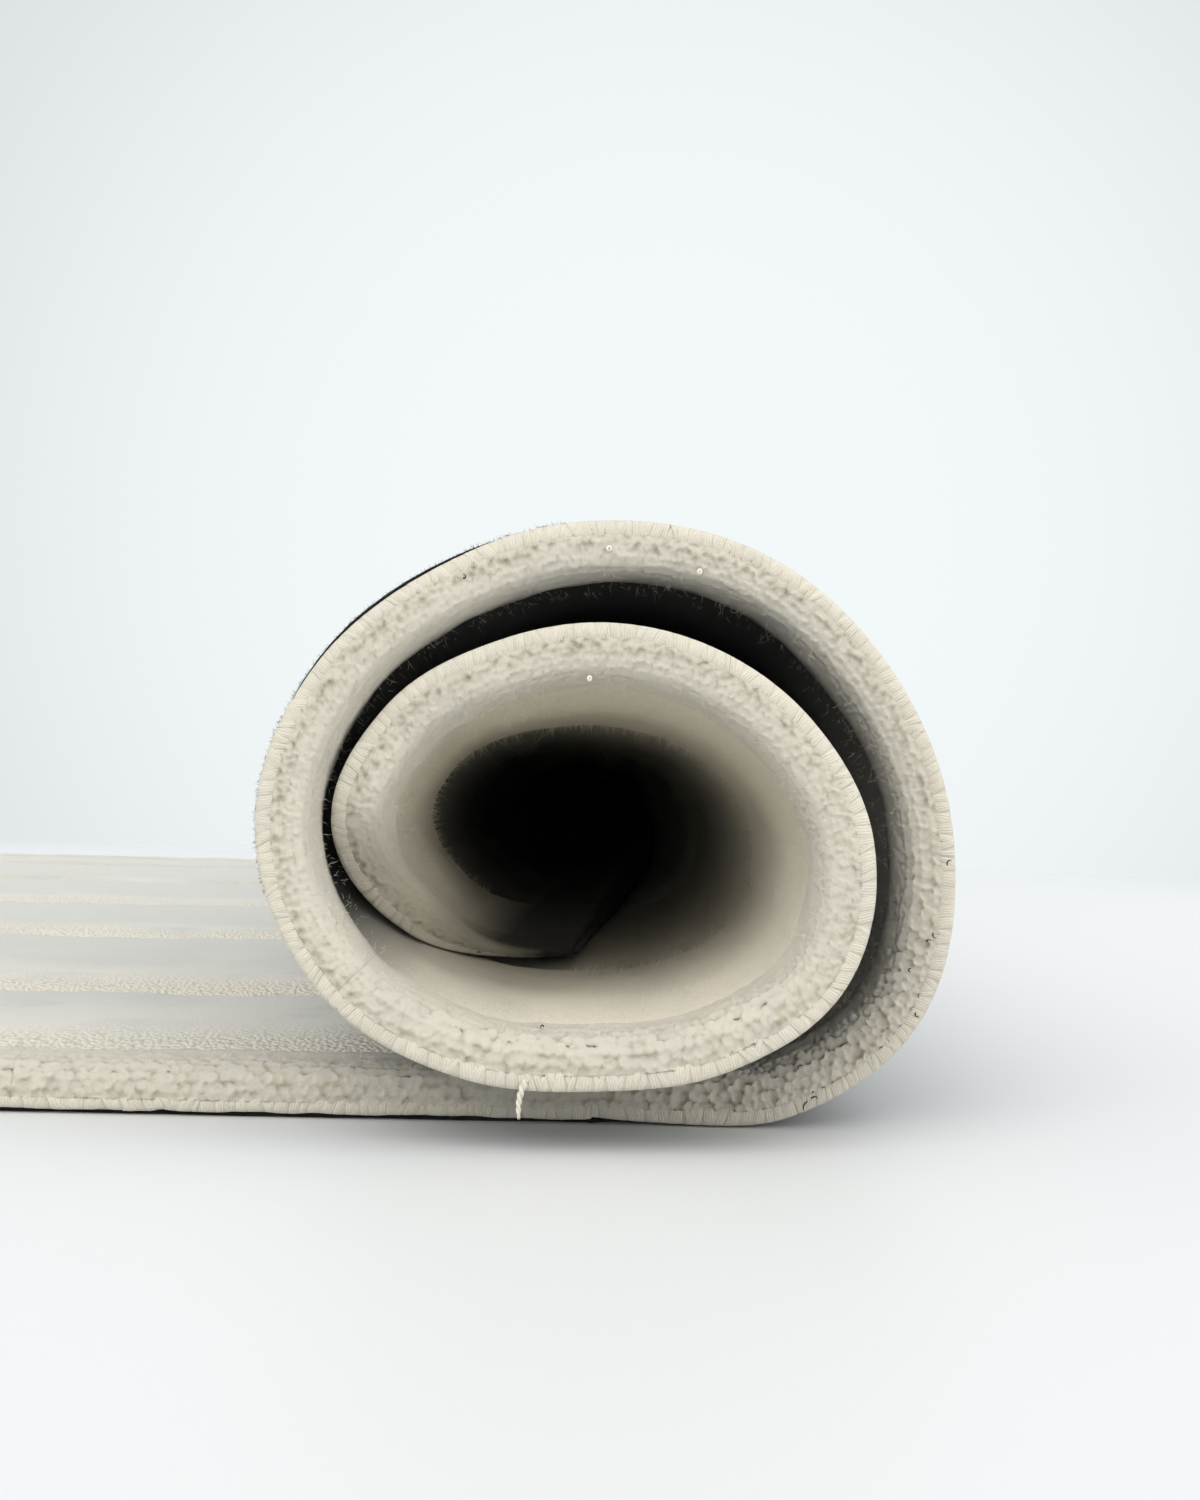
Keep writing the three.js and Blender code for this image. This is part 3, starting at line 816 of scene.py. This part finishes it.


# How far the tufts stand out over the edge, and the painted shade between the tufts, between knobs and in the
# pits, with each tuft's own random tone
def edgeRelief(s, t, start, stop, seed):
    tall, dark, many = (np.interp(turnAt(s), tuftMoods[:, 0], tuftMoods[:, k]) for k in (1, 2, 3))
    small, ownSmall = cellDomes(s, t, tuft["small"], seed)
    large, ownLarge = cellDomes(s, t, tuft["large"], seed + 7)
    dome, own = small + (large - small) * many, ownSmall + (ownLarge - ownSmall) * many
    knob, ownKnob = cellDomes(s, t, tuft["knob"], seed + 3)
    softTo = np.interp(many[:, :1], [0, 1], tuft["softTo"])
    fade = between(t, tuft["edgeFade"]) * between(t - softTo, tuft["pileFade"])
    domed = dome - tuft["middle"] + tuft["unequal"] * own
    swell = tuft["height"] * tall * domed * (1 + tuft["moreIfLarge"] * many)
    knobbed = knob - tuft["knobMiddle"] + tuft["knobUnequal"] * ownKnob
    swell = fade * (swell + tuft["knobHeight"] * knobbed)
    pit = pits(s, t, start, stop, np.random.default_rng(seed)) * (1 - tuft["pitLostIfLarge"] * many)
    furrow = limited((tuftLooks["furrowFrom"] - dome) / tuftLooks["furrowOver"])
    shade = 1 - dark * fade * furrow - tuftLooks["knobShade"] * fade * limited(tuftLooks["knobFrom"] - knob)
    return swell - tuft["pitDepth"] * pit, shade - tuftLooks["pitShade"] * pit + tuftLooks["own"] * own


# Rows of values over the edge, each followed by the values of its back
def withBack(rows, back):
    return np.concatenate([rows] + [np.full((len(rows), 1), float(value)) for value in back], 1)


def edgeBand(name, start, stop, step, coarser, onFarSide, seed):
    t, inset, height, outward, upward = edgeSection(coarser)
    s = np.append(np.arange(start, stop, step), stop)
    s, t = np.meshgrid(s, t, indexing="ij")
    inset, height, outward, upward = (np.broadcast_to(v, s.shape) for v in (inset, height, outward, upward))
    across = rug["width"] - inset if onFarSide else inset
    across = np.clip(across, tuft["sideClear"], rug["width"] - tuft["sideClear"])
    looks = pileTones(s, across)
    follow = limited((inset - tuft["followFrom"]) / tuft["followOver"])
    height = height + (pileTop(s, across) - tuft["section"][-1][1]) * follow
    swell, shade = edgeRelief(s, t, start, stop, seed)
    inset = inset - outward * swell
    ragged = tuft["ragged"] * lumps(s, 0 * s, tuft["raggedSize"], seed + 5)
    ragged = ragged * limited(1 - t / tuft["raggedOver"])
    height = height + upward * swell + ragged
    height = height - tuft["tuckedIn"] * limited((t - t.max() + tuft["tuckOver"]) / tuft["tuckOver"])
    # The crest's painted cool sheen, starting nearer the far edge as painted shade there, and the painted
    # warm shade
    crestFrom = tuftLooks["farCrestFrom"] if onFarSide else tuftLooks["crestFrom"]
    crest = limited((inset - crestFrom) / tuftLooks["crestOver"]) * looks["crest"]
    warmth = looks["warmth"] * limited((inset - tuftLooks["warmFrom"]) / tuftLooks["warmOver"])
    backInsets, backHeights = np.transpose(tuft["back"])
    none = 0 * backInsets
    insets, heights = withBack(inset, backInsets), withBack(height, backHeights)
    alongs = s[:, :1] * np.ones_like(insets)
    across = rug["width"] - insets if onFarSide else insets
    faces = closedFaces(*insets.shape, insets[0], s.shape[1])
    if onFarSide:
        faces = [f[:, ::-1] for f in faces]
    looks = {"rugPlace": np.stack([alongs, across, heights], -1).reshape(-1, 3),
             "shade": limited(withBack(shade, none + tuftLooks["backShade"])).ravel(),
             "warmth": withBack(warmth, none).ravel(), "crest": withBack(crest, none).ravel(),
             "inside": limited((insets - tuftLooks["insideFrom"]) / tuftLooks["insideOver"]).ravel(),
             "shaded": rollShade(alongs, np.clip(across, 0, rug["width"])).ravel()}
    return makeMesh(name, wind(alongs, across, heights), faces, tuftWool, (), looks)


# The near edge is in three pieces along the rug, and the far edge, which shows less, in one
bandShape = {"splits": (520, 1140), "endClear": 0.8, "flatStep": 1.0, "flatCoarser": 1.2, "step": 0.58,
             "farStep": 2.1, "farCoarser": 1.6, "nearSeed": 31, "farSeed": 33}
splits, clear, lastStop = bandShape["splits"], bandShape["endClear"], rug["length"] - bandShape["endClear"]
bands = [
    edgeBand("edge_tufts_flat", clear, splits[0], bandShape["flatStep"], bandShape["flatCoarser"], False,
             bandShape["nearSeed"]),
    edgeBand("edge_tufts_outer", splits[0], splits[1], bandShape["step"], 1, False, bandShape["nearSeed"]),
    edgeBand("edge_tufts_inner", splits[1], lastStop, bandShape["step"], 1, False, bandShape["nearSeed"]),
    edgeBand("edge_tufts_far", clear, lastStop, bandShape["farStep"], bandShape["farCoarser"], True,
             bandShape["farSeed"]),
]


# Thin tapering fibres; each starts at a place and bends from one direction towards another
def fibreMesh(name, place, first, later, length, shape, shaded, material):
    sides, rings, thinning = 3, shape["rings"], 0.75
    count = len(place)
    levels = np.linspace(0, 1, rings + 1)
    along = length[:, None] * levels
    bend = levels ** 2
    path = (place[:, None] + first[:, None] * along[..., None]
            + later[:, None] * (length[:, None] * bend)[..., None])
    nudge = np.array([0.013, 0.021, 0.017])     # keeps the two directions from being parallel
    across = unit(np.cross(first, later + nudge))
    other = unit(np.cross(first, across))
    angles = np.arange(sides) * 2 * math.pi / sides
    taper = (1 - thinning * levels[:-1])[None, :, None, None]
    ring = (across[:, None] * np.cos(angles)[None, :, None] + other[:, None] * np.sin(angles)[None, :, None])
    body = path[:, :-1, None] + ring[:, None] * (shape["radius"] * mm) * taper
    points = np.concatenate([body.reshape(count, -1, 3), path[:, -1:]], 1)
    per = points.shape[1]
    index = np.arange(rings)[:, None] * sides + np.arange(sides)
    after = np.roll(index, -1, 1)
    quads = np.stack([index[:-1], after[:-1], after[1:], index[1:]], -1).reshape(-1, 4)
    ends = np.concatenate([np.stack([index[-1], after[-1], np.full(sides, per - 1)], -1), [[2, 1, 0]]])
    offset = (np.arange(count) * per)[:, None, None]
    faces = [(quads[None] + offset).reshape(-1, 4), (ends[None] + offset).reshape(-1, 3)]
    return makeMesh(name, points, faces, material, (), {"shaded": np.repeat(shaded, per)})


# Directions in which fibres bend, at random
def curls(generator, count, strength):
    return unit(generator.normal(0, 1, (count, 3))) * strength


edgeHair = {"count": 4200, "length": (0.9, 2.4), "radius": 0.055, "rings": 4, "start": 2, "stopShort": 90,
            "proud": 0.2, "lean": 0.7, "scatter": 0.3, "curl": 0.5}


def edgeFluff():
    generator = np.random.default_rng(41)
    t, inset, height, outward, upward = edgeSection(1)
    count = edgeHair["count"]
    s = generator.uniform(edgeHair["start"], rug["length"] - edgeHair["stopShort"], count)
    pick = generator.integers(1, len(t), count)
    place, onward, aside, out = frameAt(s, inset[pick], height[pick] + edgeHair["proud"])
    normal = unit(out * upward[pick][:, None] - aside * outward[pick][:, None])
    leaning = edgeHair["lean"] * generator.normal(0, 1, (count, 1)) * onward
    first = unit(normal + leaning + edgeHair["scatter"] * generator.normal(0, 1, (count, 3)))
    later = curls(generator, count, edgeHair["curl"])
    length = generator.uniform(*edgeHair["length"], count) * mm
    return fibreMesh("edge_fluff", place, first, later, length, edgeHair, rollShade(s, 1 + 0 * s), fuzz)


# On two ridges inside the second lap: the middle and spread of each, across the rug
ridgeHair = {"count": 2700, "length": (1.4, 3.6), "radius": 0.055, "rings": 4, "turns": (0.98, 1.84),
             "nearRidge": (62, 7), "nearShare": 0.3, "farRidge": (141, 8), "sunk": 0.3, "scatter": 0.45,
             "curl": 0.6}


def ridgeFluff():
    generator = np.random.default_rng(42)
    count = ridgeHair["count"]
    s = alongAt(generator.uniform(*ridgeHair["turns"], count))
    onNear = generator.random(count) < ridgeHair["nearShare"]
    near = generator.normal(*ridgeHair["nearRidge"], count)
    b = np.where(onNear, near, generator.normal(*ridgeHair["farRidge"], count))
    place, _, _, out = frameAt(s, b, pileTop(s, b) - ridgeHair["sunk"])
    first = unit(out + ridgeHair["scatter"] * generator.normal(0, 1, (count, 3)))
    later = curls(generator, count, ridgeHair["curl"])
    length = generator.uniform(*ridgeHair["length"], count) * mm
    return fibreMesh("ridge_fluff", place, first, later, length, ridgeHair, rollShade(s, b), fuzz)


# Dark fibres of the felt that stand out past the whipping over the roll's upper left
feltHair = {"count": 560, "length": (0.4, 1.3), "radius": 0.05, "rings": 4, "turns": (0.52, 0.78),
            "insets": (0.6, 3), "height": 0.4, "lean": 0.9, "outward": 0.5, "curl": 0.5}


def feltFluff():
    generator = np.random.default_rng(44)
    count = feltHair["count"]
    s = alongAt(generator.uniform(*feltHair["turns"], count))
    place, onward, aside, out = frameAt(s, generator.uniform(*feltHair["insets"], count), feltHair["height"])
    leaning = feltHair["lean"] * generator.normal(0, 1, (count, 1)) * onward
    first = unit(leaning - feltHair["outward"] * out - feltHair["outward"] * aside)
    later = curls(generator, count, feltHair["curl"])
    length = generator.uniform(*feltHair["length"], count) * mm
    return fibreMesh("felt_fluff", place, first, later, length, feltHair, 0 * s, darkThread)


# Stray fibres inside the roll carry a fixed painted shade
strayHair = {"count": 30, "length": (5, 12), "radius": 0.06, "rings": 9, "turns": (1.42, 1.62), "few": 6,
             "fewTurns": (1.05, 1.2), "across": (142, 6), "height": 14.4, "scatter": 0.5, "curl": 1.2,
             "shaded": 0.3}


def strayFibres():
    generator = np.random.default_rng(43)
    count, few = strayHair["count"], strayHair["few"]
    most = generator.uniform(*strayHair["turns"], count - few)
    s = alongAt(np.concatenate([most, generator.uniform(*strayHair["fewTurns"], few)]))
    b = generator.normal(*strayHair["across"], count)
    place, _, _, out = frameAt(s, b, strayHair["height"])
    first = unit(out + strayHair["scatter"] * generator.normal(0, 1, (count, 3)))
    later = curls(generator, count, strayHair["curl"])
    length = generator.uniform(*strayHair["length"], count) * mm
    shaded = strayHair["shaded"] + 0 * s
    return fibreMesh("stray_fibres", place, first, later, length, strayHair, shaded, fuzz)


# Round strands along lists of points, all in one mesh
def strandMesh(name, paths, radii, material):
    sides, offAxis = 7, (0.13, 0.91, 0.39)     # a direction that no strand follows
    points, faces, first = [], [], 0
    angles = np.arange(sides) * 2 * math.pi / sides
    for path, radius in zip(paths, radii):
        ahead = unit(np.gradient(path, axis=0))
        aside = unit(np.cross(ahead, offAxis))
        above = np.cross(ahead, aside)
        ring = aside[:, None] * np.cos(angles)[:, None] + above[:, None] * np.sin(angles)[:, None]
        points.append((path[:, None] + ring * np.asarray(radius)[:, None, None]).reshape(-1, 3))
        faces += [f[:, ::-1] + first for f in closedFaces(len(path), sides)]
        first += len(points[-1])
    points = np.concatenate(points)
    return makeMesh(name, points, faces, material, (),
                    {"shaded": np.zeros(len(points)), "shade": np.ones(len(points)), "rugPlace": points / mm})


# Where each dark thread lies on the near edge: turn, inset, height, length and how it is turned
specks = {"radius": 0.16, "thickness": 1.25, "thinning": 1.8, "proud": 0.25, "bow": 0.9, "steps": 7,
          "sway": 0.3, "swayTurns": 9, "arch": 0.35, "archTurns": 7, "places": [
              (0.703, 0.2, 3.0, 2.6, 0.3), (0.242, -0.4, 2.6, 2.2, -0.6), (0.209, -1.6, 5.7, 2.2, 0.5),
              (0.206, -1.6, 7.0, 1.6, -1.2), (0.112, 0.2, 12.2, 2.4, 0.2), (0.107, -0.6, 2.4, 3.6, 0.8),
              (0.112, -0.7, 3.2, 2.4, -0.3), (0.172, -0.5, 2.8, 1.6, 1.1), (1.888, -0.6, 3.2, 1.4, 0.4),
              (0.58, -0.9, 6.4, 1.3, 0.9), (0.19, -1.3, 9.6, 1.3, 0.1), (0.965, 6.0, 15.6, 1.0, 0.4)]}


def darkSpecks():
    paths, radii = [], []
    steps = np.linspace(-0.5, 0.5, specks["steps"])
    sway = specks["sway"] * np.sin(steps * specks["swayTurns"])
    arch = specks["arch"] * np.cos(steps * specks["archTurns"])
    for turn, inset, height, length, slant in specks["places"]:
        along = alongAt(turn) + length * steps * math.cos(slant) + sway
        heights = height + length * steps * math.sin(slant) + arch
        paths.append(wind(along, inset - specks["proud"] + specks["bow"] * steps ** 2, heights))
        radii.append(specks["radius"] * mm * (specks["thickness"] - specks["thinning"] * np.abs(steps)))
    return strandMesh("dark_threads", paths, radii, darkThread)


# A two-ply end of yarn that hangs from the edge of the second lap
looseYarn = {"turn": 0.957, "inset": -0.6, "height": 3.4, "length": 9.5, "thick": 0.95, "twists": 2.6,
             "steps": 29, "plySpread": 0.5, "plyRadius": 0.62, "closing": 0.55, "drift": -0.14, "sway": 0.8,
             "swayTurns": 3, "proud": -0.4, "forward": -0.1,
             "taper": [(0, 0.8), (0.08, 1), (0.85, 0.6), (1, 0.15)]}


def yarnEnd():
    steps = np.linspace(0, 1, looseYarn["steps"])
    start = wind(alongAt(looseYarn["turn"]), looseYarn["inset"], looseYarn["height"])
    drop = looseYarn["length"] * mm * steps
    sideways = looseYarn["drift"] * drop - looseYarn["sway"] * mm * np.sin(steps * looseYarn["swayTurns"])
    middle = start + np.stack([sideways, looseYarn["proud"] * mm + looseYarn["forward"] * drop, -drop], -1)
    spread = looseYarn["thick"] * looseYarn["plySpread"] * mm * (1 - looseYarn["closing"] * steps)[:, None]
    radius = looseYarn["thick"] * looseYarn["plyRadius"] * mm * between(steps, looseYarn["taper"])
    paths = []
    for ply in (0, math.pi):
        turned = ply + steps * looseYarn["twists"] * 2 * math.pi
        paths.append(middle + spread * np.stack([np.cos(turned), np.sin(turned), 0 * turned], -1))
    return strandMesh("loose_yarn_end", paths, [radius, radius], yarn)


# Little curls of white lint: turn, inset and height
lint = {"radius": 0.22, "loops": 2.2, "steps": 15, "wide": 0.75, "narrowing": 0.5, "proud": 0.8,
        "taper": [(0, 0.5), (0.2, 1), (1, 0.6)],
        "places": [(0.449, -0.9, 11.1), (1.513, 1.9, 14.4), (0.5, -0.9, 8.0)]}


def lintCurls():
    steps = np.linspace(0, 1, lint["steps"])
    turned = steps * lint["loops"] * 2 * math.pi
    wide = lint["wide"] * (1 - lint["narrowing"] * steps)
    radius = lint["radius"] * mm * between(steps, lint["taper"])
    aside, above, rise = wide * np.cos(turned), wide * np.sin(turned), lint["proud"] * steps
    paths = [wind(alongAt(turn) + aside, inset - rise, height + above)
             for turn, inset, height in lint["places"]]
    return strandMesh("lint", paths, [radius] * len(paths), fuzz)


loose = [edgeFluff(), ridgeFluff(), feltFluff(), strayFibres(), darkSpecks(), yarnEnd(), lintCurls()]

# The floor fades out between two distances, in metres, and turns cooler away from the lens. The
# sky's strength is above, around and low in front; behind the rug the lens sees a soft glow.
studio = {"floor": (0.70, 0.71, 0.705), "farFloor": (0.60, 0.62, 0.635), "farBetween": (-0.1, 1.8),
          "mottle": (0.63, 0.64, 0.64), "mottleShare": 0.1, "mottleScale": 1.3, "roughness": 0.5,
          "floorFades": (0.95, 1.55), "floorMargin": 0.1,
          "sky": (0.93, 0.965, 1.0), "above": 0.72, "around": 0.97, "frontLow": 1.05,
          "frontBetween": (-0.2, 0.5), "lowBetween": (0.15, 0.65),
          "glow": (0.895, 0.94, 0.95), "edge": (0.715, 0.745, 0.755), "glowTowards": (0.055, 0.985, 0.14),
          "glowBetween": (0.88, 1.0)}
# Soft lights: strength, then softness, height and how far left in degrees
lamps = {"key": (1.8, 48, 42, 27), "fill": (1.5, 90, 30, -60)}
lampLook = {"color": (1.0, 0.985, 0.96), "distance": 3}


def makeFloor():
    f = Finish("pale floor")
    place = f.node("ShaderNodeTexCoord", None, None, "Object")
    mottle = f.noise(place, studio["mottleScale"], 4.0) * studio["mottleShare"]
    deep = f.node("ShaderNodeSeparateXYZ", None, [place], "Y")
    tone = f.mix(deep.between(*studio["farBetween"]), studio["floor"], studio["farFloor"])
    away = f.node("ShaderNodeVectorMath", {"operation": "LENGTH"}, [place], "Value")
    material = f.set(Base_Color=f.mix(mottle, tone, studio["mottle"]), Roughness=studio["roughness"],
                     Specular_IOR_Level=0.5, Alpha=1 - away.between(*studio["floorFades"]))
    mesh = bpy.data.meshes.new("floor")
    size = studio["floorFades"][1] + studio["floorMargin"]
    corners = [(-size, -size, 0), (size, -size, 0), (size, size, 0), (-size, size, 0)]
    mesh.from_pydata(corners, [], [(0, 1, 2, 3)])
    mesh.materials.append(material)
    floor = bpy.data.objects.new("floor", mesh)
    bpy.context.scene.collection.objects.link(floor)


def makeSky():
    world = bpy.data.worlds.new("studio")
    bpy.context.scene.world = world
    world.use_nodes = True
    w = NodeTree(world.node_tree)
    towards = w.node("ShaderNodeTexCoord", None, None, "Generated")
    y, z = (w.node("ShaderNodeSeparateXYZ", None, [towards], axis) for axis in ("Y", "Z"))
    infront = (0 - y).between(*studio["frontBetween"])
    low = 1 - z.between(*studio["lowBetween"])
    horizon = studio["around"] + (studio["frontLow"] - studio["around"]) * infront
    strength = studio["above"] + (horizon - studio["above"]) * low
    light = w.nodes["Background"]
    w.plug(light.inputs["Color"], studio["sky"])
    w.plug(light.inputs["Strength"], strength)
    glowDirection = tuple(Vector(studio["glowTowards"]).normalized())
    facing = w.node("ShaderNodeVectorMath", {"operation": "DOT_PRODUCT"}, [towards, glowDirection], "Value")
    glow = w.mix(facing.between(*studio["glowBetween"]), studio["edge"], studio["glow"])
    seen = w.node("ShaderNodeBackground", None, {"Color": glow})
    path = w.node("ShaderNodeLightPath", None, None, "Is Camera Ray")
    mixer = w.node("ShaderNodeMixShader", None, [path, Val(w, light.outputs[0]), seen])
    w.links.new(mixer.socket, w.nodes["World Output"].inputs[0])


def makeLamps():
    for name, (strength, softness, height, left) in lamps.items():
        lamp = bpy.data.lights.new(name, "SUN")
        lamp.energy, lamp.angle = strength, math.radians(softness)
        lamp.color = lampLook["color"]
        softbox = bpy.data.objects.new(name, lamp)
        up, left = math.radians(height), math.radians(left)
        source = Vector((-math.sin(left) * math.cos(up), -math.cos(left) * math.cos(up), math.sin(up)))
        softbox.rotation_mode = "QUATERNION"
        softbox.rotation_quaternion = source.to_track_quat("Z", "Y")
        softbox.location = source * lampLook["distance"]
        bpy.context.scene.collection.objects.link(softbox)


# The lens looks along the roll from just above the floor, a little up and to the right. Its focal
# length and vanishing point are in the frame's own units, its place in millimetres.
view = {"focal": 1750, "frame": (1200, 1500), "vanishing": (562, 786), "roll": 1.4,
        "distance": 472.5, "side": -10, "height": 90.9, "sensor": 36, "clip": (0.01, 100)}


def makeCamera():
    focal, (wide, tall) = view["focal"], view["frame"]
    data = bpy.data.cameras.new("camera")
    data.sensor_width = view["sensor"]
    data.lens = focal / tall * view["sensor"]
    data.clip_start, data.clip_end = view["clip"]
    camera = bpy.data.objects.new("camera", data)
    deep = Vector((view["vanishing"][0] - wide / 2, tall / 2 - view["vanishing"][1], -focal)).normalized()
    tilt = math.radians(view["roll"])
    right = Vector((math.cos(tilt), -math.sin(tilt), 0))
    right = (right - deep * right.dot(deep)).normalized()
    turned = Matrix((right, deep, right.cross(deep)))
    place = Vector(origin) + Vector((view["side"], -view["distance"], view["height"])) * mm
    camera.matrix_world = Matrix.Translation(place) @ turned.transposed().inverted().to_4x4()
    bpy.context.scene.collection.objects.link(camera)
    bpy.context.scene.camera = camera


makeFloor()
makeSky()
makeLamps()
makeCamera()
bpy.context.scene.view_settings.view_transform = "Standard"
print("scene set")
